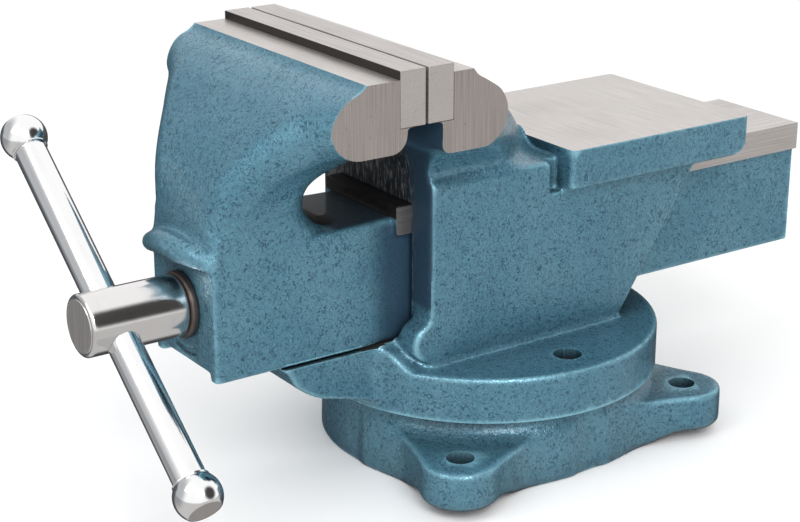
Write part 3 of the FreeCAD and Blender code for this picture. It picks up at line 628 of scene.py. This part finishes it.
PAINT = hammertone("hammertone_paint")
JAW_PAINT = hammertone("hammertone_jaw", throat_bare_iron_and_shade, coat=0.14)
BODY_PAINT = hammertone("hammertone_body", shaded_front)
STEEL_TOP = ground_metal("ground_steel_tops", (0.62, 0.585, 0.56), "x", rough=0.34)
STEEL_END = ground_metal("milled_iron_ends", (0.37, 0.335, 0.318), "z", rough=0.46, metallic=0.75,
                         line=0.00001)
STEEL_PLATE = ground_metal("hardened_plates", (0.54, 0.505, 0.485), "x", rough=0.36, metallic=0.8,
                           seat=plate_seat_shade)
BRUSHED = ground_metal("brushed_ends", (0.52, 0.49, 0.475), "z", rough=0.42, metallic=0.9)
STEEL_RAIL = ground_metal("planed_rail", (0.60, 0.565, 0.545), "y", rough=0.36, darkening=darker_rail_front)
COLLAR = rough_iron("collar_steel", (0.085, 0.068, 0.062), rough=0.40, metallic=0.8, grain=0.00003)
CHROME = chrome("chrome_handle")
BRIGHT = chrome("polished_screw", (0.74, 0.73, 0.725), rough=0.11)
DARK = rough_iron("oiled_steel", (0.035, 0.026, 0.022), rough=0.42, metallic=0.75, grain=0.00003)
BLACK = rough_iron("black_oxide", (0.018, 0.018, 0.020), rough=0.45, metallic=0.7, grain=0.00003)
RAW = rough_iron("raw_casting", (0.035, 0.033, 0.032), rough=0.68, metallic=0.5)


# ---------------------------------------------------------------- castings
def cast(name, casting, grid, paint):
    """Softens a field and skins it, then collapses the flats, where most of the faces add nothing."""
    piece = skin(name, soften(casting, CAST_BLUR), grid)
    piece.data.materials.append(paint)
    thin = piece.modifiers.new("thin", "DECIMATE")
    thin.ratio = 0.42
    return evaluated(piece)


def finished(piece, body, slot, *nodes):
    """The piece rides on a body and takes the place of CAD nodes. The slot argument is not used."""
    shade(piece)
    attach(piece, body)
    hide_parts(*nodes)


def movable_jaw():
    """The front jaw with its slide. The head is what its outlines from the side, the end and above share."""
    g = Grid((-80, -184, 62), (80, 194, 216))
    x = np.abs(g.x)
    side = outline(g.y, g.z, [
        (-85.0, ABOVE), (-106.0, ABOVE),
        *smooth((-114.6, 212.2), (-118.4, 207.5), (-121.6, 204.9), (-126.0, 203.0), (-131.5, 199.8),
                (-141.8, 192.0), (-156.2, 176.0), (-165.6, 160.0),
                (-168.9, 146.0), (-169.4, 134.0), (-169.4, 128.0)),
        (-169.4, 100.0), (-92.0, 100.0),
        *smooth((-92.0, 128.4), (-101.0, 128.9), (-108.0, 130.9), (-113.6, 134.8), (-117.6, 140.6),
                (-119.0, 147.0), (-117.9, 152.2), (-114.5, 156.0), (-109.3, 159.0), (-103.0, 164.0),
                (-98.6, 171.0), (-97.7, 178.0)),
        (-97.7, PLATE_BOTTOM), (-85.0, PLATE_BOTTOM)])
    end = outline(x, g.z, [
        (-60.0, 80.0), (-60.0, ABOVE), (110.0, ABOVE), (110.0, 176.4),
        *smooth((92.0, 176.1), (76.0, 175.5), (68.0, 174.6), (57.0, 171.0), (46.0, 163.5), (36.5, 152.5),
                (31.0, 140.0), (29.2, 130.0), (SLIDE_HALF, 122.0)),
        (SLIDE_HALF, 80.0)])
    top = outline(x, g.y - 2.4 * ease(-g.x, 50.0, 75.0), [
        (-60.0, -174.0),
        *smooth((20.0, -173.5), (28.5, -168.4), (36.5, -161.4), (48.0, -151.0), (60.0, -143.0),
                (69.0, -138.6), (76.0, -136.2), (92.0, -132.0)),
        (110.0, -128.0), (110.0, -40.0), (-60.0, -40.0)])
    under_r = 8.0 + 7.0 * ease(x, 38.0, 66.0)
    rear_r = 3.0 + 6.0 * (1.0 - ease(x, 52.0, 70.0))
    front_half = meet(top, end, under_r)
    head = meet(front_half, side, rear_r * ease(g.y, -150.0, -125.0) + 5.0)
    slide_low = outline(g.y, g.z, [
        (SLIDE_FRONT, 140.0), (SLIDE_FRONT, SLIDE_BOTTOM), (RAIL_START, SLIDE_BOTTOM),
        (RAIL_START, SLIDE_TOP), (-140.0, SLIDE_TOP), (-140.0, 140.0)])
    half = SLIDE_HALF - (SLIDE_HALF - SLIDE_REAR_HALF) * ease(g.y, -98.0, RAIL_START)
    front = meet(x - half, slide_low, 1.2 + 5.0 * ease(g.z, 120.0, 138.0))
    recess = np.maximum(np.maximum(x - 22.5, g.z - 71.4), g.y + 150.0)
    front = np.maximum(front, -recess)
    behind = slab(g.y, RAIL_START - 6.0, 300.0)
    web = np.maximum(np.maximum(x - SLIDE_REAR_HALF, slab(g.z, SLIDE_BOTTOM, 127.0)), behind)
    rail = np.maximum(np.maximum(x - RAIL_HALF - 3.0, slab(g.z, RAIL_LOW, RAIL_TOP + 5.0)),
                      slab(g.y, RAIL_START, 300.0))
    spine = smooth((-25.0, -171.2, 121.4), (-14.0, -172.4, 124.7), (-2.0, -172.8, 125.9),
                   (9.0, -172.3, 126.0), (18.0, -170.6, 125.2), (27.0, -168.0, 123.6), per=4)
    brow = beads(g, spine, (4.6, 5.8, 6.4, 6.2, 5.4, 4.0))
    casting = np.minimum(np.minimum(head, front), np.minimum(web, rail))
    casting = join(casting, brow, 2.4)
    ring = np.hypot(g.x, g.z - SCREW_Z)
    lip = np.maximum(np.abs(ring - 22.8) - 1.4, slab(g.y, -200.0, SLIDE_FRONT + 2.6))
    lip = np.maximum(lip, np.maximum(np.abs(g.x) - 10.0, g.z - 92.0))
    casting = np.maximum(casting, -lip)
    piece = cast("Movable_Jaw", casting, g, JAW_PAINT)
    cutters = [
        block((-ASIDE, -130, CAST_TOP), (ASIDE, -60, ABOVE), STEEL_TOP),
        block((-ASIDE, -119.4, CAST_TOP - 0.01), (ASIDE, MOVABLE_SEAT - 3.0, ABOVE), STEEL_TOP),
        block((-ASIDE, MOVABLE_SEAT, PLATE_BOTTOM), (ASIDE, -60, ABOVE), DARK),
        block((JAW_HALF, -200, 150), (ASIDE, -60, ABOVE), STEEL_END),
        block((-ASIDE, -200, 150), (-JAW_HALF, -60, ABOVE), STEEL_END),
        block((RAIL_HALF, -90, RAIL_LOW - 8), (40, 200, 150), STEEL_RAIL),
        block((-40, -90, RAIL_LOW - 8), (-RAIL_HALF, 200, 150), STEEL_RAIL),
        block((-40, -90, RAIL_TOP), (40, 200, 150), STEEL_RAIL),
        block((-50, SLIDE_REAR, 60), (50, 210, 150), STEEL_END),
        block((-50, -200, 50), (50, 210, SLIDE_BOTTOM), STEEL_RAIL),
        block((-19.5, -147.4, 50), (19.5, 210, 118.0), RAW),
        bore((0, -200, SCREW_Z), (0, 1, 0), 60, 12.08, DARK)]
    for side_x in (-PLATE_SCREW_X, PLATE_SCREW_X):
        cutters.append(bore((side_x, -80, PLATE_SCREW_Z), (0, -1, 0), 37.8, PLATE_SCREW_R, DARK, 32))
    finished(machine(piece, cutters), "sliding_jaw", "casting_paint", "movable_jaw")


def fixed_body():
    """Flange, tongue, cheeks, rear jaw and anvil in one casting, with the slide's tunnel cut through it."""
    g = Grid((-92, -140, 33), (92, 132, 216))
    x = np.abs(g.x)
    side = outline(g.y, g.z, [
        (-95.0, ABOVE), (-76.0, ABOVE),
        *smooth((-67.0, 213.0), (-62.8, 207.8), (-60.2, 204.6), (-56.4, 202.4), (-50.0, 198.4),
                (-42.0, 193.4), (-28.0, 185.4), (-10.0, 174.4), (2.0, 165.2),
                (8.0, 159.6), (12.6, 154.2), (22.0, 144.0)),
        (46.0, 147.2), (46.0, 44.0), (BODY_FRONT, 44.0), (BODY_FRONT, 146.0),
        *smooth((BODY_FRONT - 0.2, 150.0), (-66.4, 157.0), (-70.6, 164.5), (-76.0, 169.6), (-79.0, 174.0),
                (-79.0, 180.0)),
        (-79.0, PLATE_BOTTOM), (-95.0, PLATE_BOTTOM)])
    end = outline(x, g.z, [
        (-60.0, 10.0), (-60.0, ABOVE), (110.0, ABOVE), (110.0, 171.4),
        *smooth((92.0, 171.6), (76.0, 171.4), (69.0, 170.4), (60.5, 166.6), (52.5, 161.4), (47.0, 156.4),
                (44.2, 152.6), (43.8, 149.8), (45.2, 147.6), (46.6, 145.4), (BODY_HALF, 142.0),
                (BODY_HALF, 136.0)),
        (BODY_HALF, 10.0)])
    web = outline(x, g.y, [
        (-60.0, -120.0), (110.0, -120.0), (110.0, -44.0),
        *smooth((92.0, -44.0), (76.0, -43.8), (68.0, -41.8), (57.0, -36.5), (47.0, -25.0),
                (36.0, -12.5), (26.0, -1.0), (17.0, 8.5), (12.0, 18.0), (11.0, 24.0)),
        (-60.0, 24.0)])
    shelf = join(web, g.z - SHOULDER, 10.0)
    under_r = 4.0 + 9.0 * ease(g.y, -70.0, -50.0)
    body = meet(shelf, end, under_r * ease(x, 50.0, 62.0) + 1.6)
    body = meet(body, side, 2.2 + 4.0 * ease(g.z, 150.0, 172.0) * ease(g.y, -66.0, -50.0))
    nose = join(np.hypot(g.y - BODY_FRONT, g.z - 69.6) - 9.2, BODY_FRONT - g.y, 4.0)
    nose = np.maximum(nose, slab(g.z, 50.0, 100.0))
    ears = meet(np.maximum(nose, g.y - BODY_FRONT - 6.0), np.abs(x - 39.3) - 7.4, 1.5)
    rear = outline(g.y, g.z, [(40.0, 44.0), (40.0, 136.0), (109.2, 136.0), (52.0, 57.4), (52.0, 44.0)])
    taper = outline(x, g.y, [(-60.0, -60.0), (46.2, -60.0), (46.2, 46.0), (40.4, 112.0), (-60.0, 112.0)])
    gusset = meet(rear, taper, 0.4)
    low = outline(g.y, g.z, [
        (BODY_FRONT + 20.0, 70.0), (TONGUE_FRONT, 70.0), (TONGUE_FRONT, 66.0),
        *smooth((-134.0, 65.6), (-131.0, 62.2), (-128.0, 56.8), (-120.6, 50.9), (-112.5, 46.8)),
        (-75.8, TONGUE_LOW), (BODY_FRONT + 20.0, 36.0)])
    tongue = meet(low, x - TONGUE_HALF, 1.6)
    ring = np.hypot(g.x, g.y)
    flange = meet(ring - FLANGE_R, g.z - FLANGE_TOP, 1.5)
    pad_height = slab(g.z, 40.0, 66.0 - 9.0 * ease(x, 32.0, 48.0))
    pad = meet(meet(ring - FLANGE_R, pad_height, 1.5), x - 46.4, 1.5)
    pad = np.maximum(pad, g.y - BODY_FRONT)
    flange = np.maximum(flange, 30.0 - g.z)
    cheeks = np.minimum(np.minimum(body, ears), gusset)
    casting = join(np.minimum(flange, pad), cheeks, 2.2)
    casting = join(casting, tongue, 4.5)
    anvil = meet(slab(g.z, ANVIL_LOW, 158.0), slab(g.y, ANVIL_FRONT, ANVIL_REAR), 1.6)
    anvil = meet(anvil, x - ANVIL_HALF, 2.2)
    heel = outline(g.y, g.z, [
        (-60.0, 120.0), (119.0, 120.0),
        *smooth((119.0, ANVIL_LOW), (123.6, 134.2), (126.6, 137.6), (ANVIL_REAR, 142.0)),
        (ANVIL_REAR, 160.0), (-60.0, 160.0)])
    anvil = np.maximum(anvil, heel)
    casting = np.minimum(casting, anvil)
    notch = np.maximum(np.maximum(41.0 - x, slab(g.y, NOTCH_FRONT, ANVIL_FRONT)), 131.5 - g.z)
    casting = np.maximum(casting, -notch)
    piece = cast("Fixed_Body", casting, g, BODY_PAINT)
    cutters = [
        block((-ASIDE, -100, CAST_TOP), (ASIDE, -40, ABOVE), STEEL_TOP),
        block((-ASIDE, -100, PLATE_BOTTOM), (ASIDE, FIXED_SEAT, ABOVE), DARK),
        block((JAW_HALF, -120, 150), (95, 20, ABOVE), STEEL_END),
        block((-95, -120, 150), (-JAW_HALF, 20, ABOVE), STEEL_END),
        block((-60, ANVIL_FRONT - 0.2, ANVIL_TOP), (60, 140, 200), STEEL_TOP),
        block((-30.6, -92, TONGUE_TOP), (30.6, 140, 134.8), RAW),
        block((-31, -150, TONGUE_TOP), (31, -80.0, 69.0), PAINT),
        block((-100, -150, 20), (100, 150, FLANGE_LOW), STEEL_RAIL),
        bore((0, 0, 12), (0, 0, 1), 50, 8.0, DARK, 48)]
    for side_x in (-LOCK_RADIUS, LOCK_RADIUS):
        cutters.append(turned("cutter", [(0, 4.5), (13.4, 4.5), (13.4, 6.95), (33.0, 6.95)],
                              (side_x, 0, 30), (0, 0, 1), PAINT, 48))
    for y in NUT_SCREW_YS:
        cutters.append(turned("cutter", [(0, 6.8), (15.2, 6.8), (15.2, 4.5), (50.0, 4.5)], (0, y, 30),
                              (0, 0, 1), RAW, 40))
    for side_x in (-PLATE_SCREW_X, PLATE_SCREW_X):
        cutters.append(bore((side_x, -91, PLATE_SCREW_Z), (0, 1, 0), 33.9, PLATE_SCREW_R, DARK, 32))
    finished(machine(piece, cutters), "vise_body", "casting_paint", "fixed_body")


def swivel_base():
    """Drum with three lugs, a tee groove for the lock bolts' nuts and one hole to drop them in by."""
    g = Grid((-126, -96, -6), (102, 100, 40))
    ring = np.hypot(g.x, g.y)
    wall = ring - BASE_R + 1.4 * ease(g.z, 0.0, BASE_TOP)
    casting = meet(wall, g.z - BASE_TOP, 4.2)
    for angle in LUG_ANGLES:
        turn = math.radians(angle)
        out = g.x * math.cos(turn) + g.y * math.sin(turn)
        across = np.abs(g.y * math.cos(turn) - g.x * math.sin(turn))
        plan = outline(across, out, [
            (-40.0, 50.0), (46.0, 50.0),
            *smooth((48.0, 65.0), (39.0, 73.0), (31.6, 80.6), (26.4, 88.8), (22.6, 96.8), (19.9, 103.0),
                    (17.9, 108.3)),
            *[(18.5 * math.cos(a), 103.5 + 18.5 * math.sin(a)) for a in np.linspace(0.3, math.pi / 2, 16)],
            (-40.0, 122.0)])
        lug = meet(plan, slab(g.z, 5.0 * ease(out, 84.0, 104.0), LUG_TOP), 2.0)
        casting = join(casting, lug, 9.0)
    casting = np.maximum(casting, -3.0 - g.z)
    piece = cast("Swivel_Base", casting, g, PAINT)
    cutters = [
        block((-150, -120, -20), (150, 120, 0), RAW),
        block((-150, -120, BASE_TOP), (150, 120, 60), STEEL_RAIL),
        bore((0, 0, -1), (0, 0, 1), 19.0, 22.0, RAW),
        bore((0, 0, 10), (0, 0, 1), 30.0, 8.1, STEEL_RAIL, 48),
        groove_ring(LOCK_RADIUS, 8.0, 4.75, 14.0, 24.0, 36.0),
        bore((0, LOCK_RADIUS, 14.0), (0, 0, 1), 22.0, 11.0, RAW, 64)]
    for angle in LUG_ANGLES:
        turn = math.radians(angle)
        centre = (LUG_RADIUS * math.cos(turn), LUG_RADIUS * math.sin(turn), -5.0)
        cutters.append(bore(centre, (0, 0, 1), 40.0, LUG_HOLE_R, PAINT, 64))
    finished(machine(piece, cutters), "base", "casting_paint", "swivel_base")


def groove_ring(radius, wide, narrow, low, step, high, around=160):
    """Ring-shaped cutter with a tee section."""
    section = [(-wide, low), (wide, low), (wide, step), (narrow, step), (narrow, high), (-narrow, high),
               (-narrow, step), (-wide, step)]
    points = []
    for k in range(around):
        a = 2 * math.pi * k / around
        points += [((radius + r) * math.cos(a), (radius + r) * math.sin(a), z) for r, z in section]
    return shaped("cutter", points, bands(around, len(section), closed=True, flipped=True), RAW)


# ---------------------------------------------------------------- screw, handle and small parts
def arc(centre_a, centre_r, radius, start, end, count):
    """Points of a circular arc for a turned profile, angles in degrees from the axis."""
    turns = [math.radians(start + (end - start) * k / count) for k in range(count + 1)]
    return [(centre_a + radius * math.cos(t), centre_r + radius * math.sin(t)) for t in turns]


# the way the handle bar points, towards its upper ball
BAR_WAY = Vector((math.cos(math.radians(143.0)), 0, math.sin(math.radians(143.0))))


def handle_point(reach):
    """A point on the handle bar's axis, by its distance from the screw's axis."""
    return Vector((0, HANDLE_Y, SCREW_Z)) + BAR_WAY * reach


def on_screw(y, radius, angle):
    """A point at a distance and an angle from the screw's axis."""
    return (radius * math.sin(angle), y, SCREW_Z + radius * math.cos(angle))


def thread_cut(y, angle):
    """Depth of the right-hand square thread's groove. It runs out at the front."""
    phase = (y / THREAD_PITCH - angle / (2 * math.pi)) % 1.0
    rise = min(max((abs(phase - 0.5) - 0.21) / 0.06, 0.0), 1.0)
    return THREAD_DEPTH * (1.0 - rise) * min(1.0, (y - THREAD_START) / 6.0)


def lead_screw():
    """Head, journal and thread as one turned mesh with a helical groove."""
    around = 72
    length = THREAD_END - THREAD_START
    count = int(length / THREAD_PITCH * 10)
    profile = [
        (HEAD_FRONT, 12.2),
        *[(-220.6 + a, r) for a, r in arc(1.4, 12.9, 1.6, 200, 90, 8)],
        (-218.0, HEAD_R), (-175.2, HEAD_R),
        *[(-174.9 + a, r) for a, r in arc(0.2, 12.9, 1.6, 90, 10, 6)],
        (HEAD_REAR, 12.6), (HEAD_REAR, THREAD_R), (-146.0, THREAD_R), (-128.4, THREAD_R),
        *[(THREAD_START + length * k / count, THREAD_R) for k in range(count + 1)],
        (149.4, 11.2), (150.0, 10.2)]
    points = []
    for y, r in profile:
        threaded = THREAD_START <= y <= THREAD_END and r == THREAD_R
        for k in range(around):
            a = 2 * math.pi * k / around
            points.append(on_screw(y, r - thread_cut(y, a) if threaded else r, a))
    faces = capped(len(profile), around)
    piece = shaped("Lead_Screw", points, faces, BRIGHT)
    piece.data.materials.append(BRUSHED)
    front_face = len(faces) - 2
    piece.data.polygons[front_face].material_index = 1
    low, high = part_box("retainer_pin")
    pin_y = 500.0 * (low.y + high.y)
    machine(piece, [bore(handle_point(-30), BAR_WAY, 60, 7.78, DARK, 72),
                    bore((-30, pin_y, SCREW_Z), (1, 0, 0), 60, 2.5, DARK, 32)])
    finished(piece, "spindle", "bright_steel", "lead_screw")


def handle():
    """The sliding bar and its two balls. Each ball's outer face is ground flat."""
    length = LOWER_REACH + UPPER_REACH
    ends = [(0.5, 7.2), (1.0, 7.6), (1.6, BAR_R)]
    profile = ends + [(length - along, radius) for along, radius in reversed(ends)]
    rod = turned("Handle_Bar", profile, handle_point(-LOWER_REACH), BAR_WAY, CHROME)
    finished(rod, "handle", "chrome", "handle_bar")
    rim = math.acos((KNOB_FLAT - 0.35) / KNOB_R)
    for name, node, reach in (("Handle_Ball_Upper", "handle_knob_upper", UPPER_REACH),
                              ("Handle_Ball_Lower", "handle_knob_lower", -LOWER_REACH)):
        ball = [(-7.86, 7.72), (-8.15, 8.05), (-7.85, 8.6)]
        ball += [(KNOB_R * math.cos(t), KNOB_R * math.sin(t)) for t in np.linspace(2.27, rim, 30)]
        ball += [(KNOB_FLAT - 0.10, 8.05), (KNOB_FLAT, 7.75), (KNOB_FLAT, 7.4)]
        made = turned(name, ball, handle_point(reach), BAR_WAY * math.copysign(1.0, reach), CHROME)
        made.data.materials.append(BRUSHED)
        made.data.polygons[-1].material_index = 1
        finished(made, "handle", "chrome", node)


def spring():
    """The retainer spring, of round wire, between the jaw's front wall and the washer."""
    radius, wire, pitch, turns = 15.2, 1.5, 4.6, 2.0
    around, per_turn = 14, 64
    low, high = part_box("retainer_spring")
    start_y = 1000.0 * low.y + wire
    count = int(per_turn * turns)
    points = []
    for k in range(count + 1):
        a = 2 * math.pi * k / per_turn
        y = start_y + pitch * a / (2 * math.pi)
        for j in range(around):
            b = 2 * math.pi * j / around
            points.append(on_screw(y + wire * math.sin(b), radius + wire * math.cos(b), a))
    faces = bands(count + 1, around, flipped=True)
    faces.append(tuple(range(around)))
    faces.append(tuple(reversed(range(count * around, count * around + around))))
    finished(shaped("Retainer_Spring", points, faces, DARK), "spindle", "dark_steel", "retainer_spring")


def collar():
    """The dark ring between the screw's head and the jaw."""
    profile = [(0.1, 12.1), (0.1, 14.6), (0.35, 15.2), (0.9, 15.55), (1.5, 15.6), (3.0, 15.6), (3.4, 15.4),
               (3.68, 15.0), (3.68, 12.1)]
    around = 96
    points = [on_screw(HEAD_REAR + along, radius, 2 * math.pi * k / around)
              for along, radius in profile for k in range(around)]
    faces = bands(len(profile), around, closed=True)
    finished(shaped("Thrust_Collar", points, faces, COLLAR), "sliding_jaw", "dark_steel", "thrust_collar")


def kept_nodes():
    """CAD nodes that are shown as they are get materials, and modifiers that round their sharp edges."""
    looks = {
        "fixed_jaw_plate": STEEL_PLATE, "movable_jaw_plate": STEEL_PLATE,
        "fixed_plate_screws": BLACK, "movable_plate_screws": BLACK,
        "retainer_washer": DARK, "retainer_pin": DARK, "spindle_nut": RAW, "nut_screws": BLACK,
        "swivel_lock_bolt_left": BLACK, "swivel_lock_bolt_right": BLACK, "swivel_lock_washers": DARK,
        "swivel_tee_nuts": DARK, "pivot_bolt": DARK, "pivot_washer": DARK}
    for name, material in looks.items():
        node = NODES[name]
        node.data.materials.clear()
        node.data.materials.append(material)
        weld = node.modifiers.new("weld", "WELD")
        weld.merge_threshold = 0.00001
        bevel = node.modifiers.new("bevel", "BEVEL")
        bevel.width = 0.00045 if "plate" in name else 0.0003
        bevel.segments = 2
        bevel.limit_method = "ANGLE"
        bevel.angle_limit = math.radians(38)
        bevel.harden_normals = True


movable_jaw()
fixed_body()
swivel_base()
lead_screw()
handle()
collar()
spring()
kept_nodes()


# ---------------------------------------------------------------- stage, light and camera
AZIMUTH = math.radians(55.51)
ELEVATION = math.radians(19.53)
FLAG_WAY = (0.733, 0.534, 0.423)
LEFT_WAY = (-0.73, -0.66, 0.18)
LENS = 84.38
CAMERA_AT = (0.71081, -0.53851, 0.40053)
TO_CAMERA = Vector((math.sin(AZIMUTH) * math.cos(ELEVATION), -math.cos(AZIMUTH) * math.cos(ELEVATION),
                    math.sin(ELEVATION)))


def studio():
    """White floor, tent and two lamps. The floor stays out of reflections, so chrome shows only the tent."""
    far, down = 9000, -0.4
    corners = [(-far, -far, down), (far, -far, down), (far, far, down), (-far, far, down)]
    floor = shaped("floor", corners, [(0, 1, 2, 3)])
    s = Shader(bpy.data.materials.new("pale_floor"))
    tone = s.mix(s.mapped(s.noise(1.2, detail=2.0), 0.3, 0.7), (0.93, 0.93, 0.93), (0.95, 0.95, 0.95))
    floor.data.materials.append(s.surface(Base_Color=tone, Roughness=0.6, Metallic=0.0))
    floor.visible_glossy = False
    surroundings()
    lamp("key", (0.10, -1.05, 1.15), 0.9, 5.0)
    lamp("side", (1.25, -0.45, 1.05), 0.7, 12.0)


def surroundings():
    """A white tent. A dark flag, the table's far edge and a grey left side draw the lines on the chrome."""
    world = bpy.data.worlds.new("studio")
    bpy.context.scene.world = world
    s = Shader(world, "Generated")
    height = s.part("Z")
    flag = s.mapped(s.along(FLAG_WAY), 0.84, 0.95)
    away = s.mapped(s.along((-TO_CAMERA.x, -TO_CAMERA.y, 0.0)), 0.25, 0.50)
    far_edge = s.times(away, s.mapped(height, 0.12, 0.20, 1.0, 0.0))
    table = s.mapped(height, -0.12, -0.02, 1.0, 0.0)
    shade = s.mix(table, (1.0, 1.0, 1.0), (0.55, 0.54, 0.53))
    shade = s.mix(s.times(far_edge, 0.94), shade, (0.03, 0.03, 0.035))
    left = s.mapped(s.along(LEFT_WAY), 0.55, 0.92)
    shade = s.mix(s.times(left, 0.60), shade, (0.10, 0.12, 0.14))
    shade = s.mix(s.times(flag, 0.97), shade, (0.025, 0.02, 0.02))
    back = s.tree.nodes["Background"]
    s.put(back.inputs["Color"], shade)
    back.inputs["Strength"].default_value = 1.15


def lamp(name, where, size, power):
    data = bpy.data.lights.new(name, "AREA")
    data.shape = "SQUARE"
    data.size = size
    data.energy = power
    made = bpy.data.objects.new(name, data)
    made.location = where
    aim = Vector((0.0, 0.0, 0.11)) - Vector(where)
    made.rotation_mode = "QUATERNION"
    made.rotation_quaternion = aim.to_track_quat("-Z", "Y")
    bpy.context.scene.collection.objects.link(made)


def camera():
    """Level camera that looks along TO_CAMERA."""
    data = bpy.data.cameras.new("camera")
    data.lens = LENS
    data.sensor_width = 36.0
    data.clip_end = 100.0
    made = bpy.data.objects.new("camera", data)
    made.location = CAMERA_AT
    made.rotation_mode = "QUATERNION"
    made.rotation_quaternion = (-TO_CAMERA).to_track_quat("-Z", "Y")
    bpy.context.scene.collection.objects.link(made)
    bpy.context.scene.camera = made


studio()
camera()
bpy.context.scene.view_settings.view_transform = "Standard"
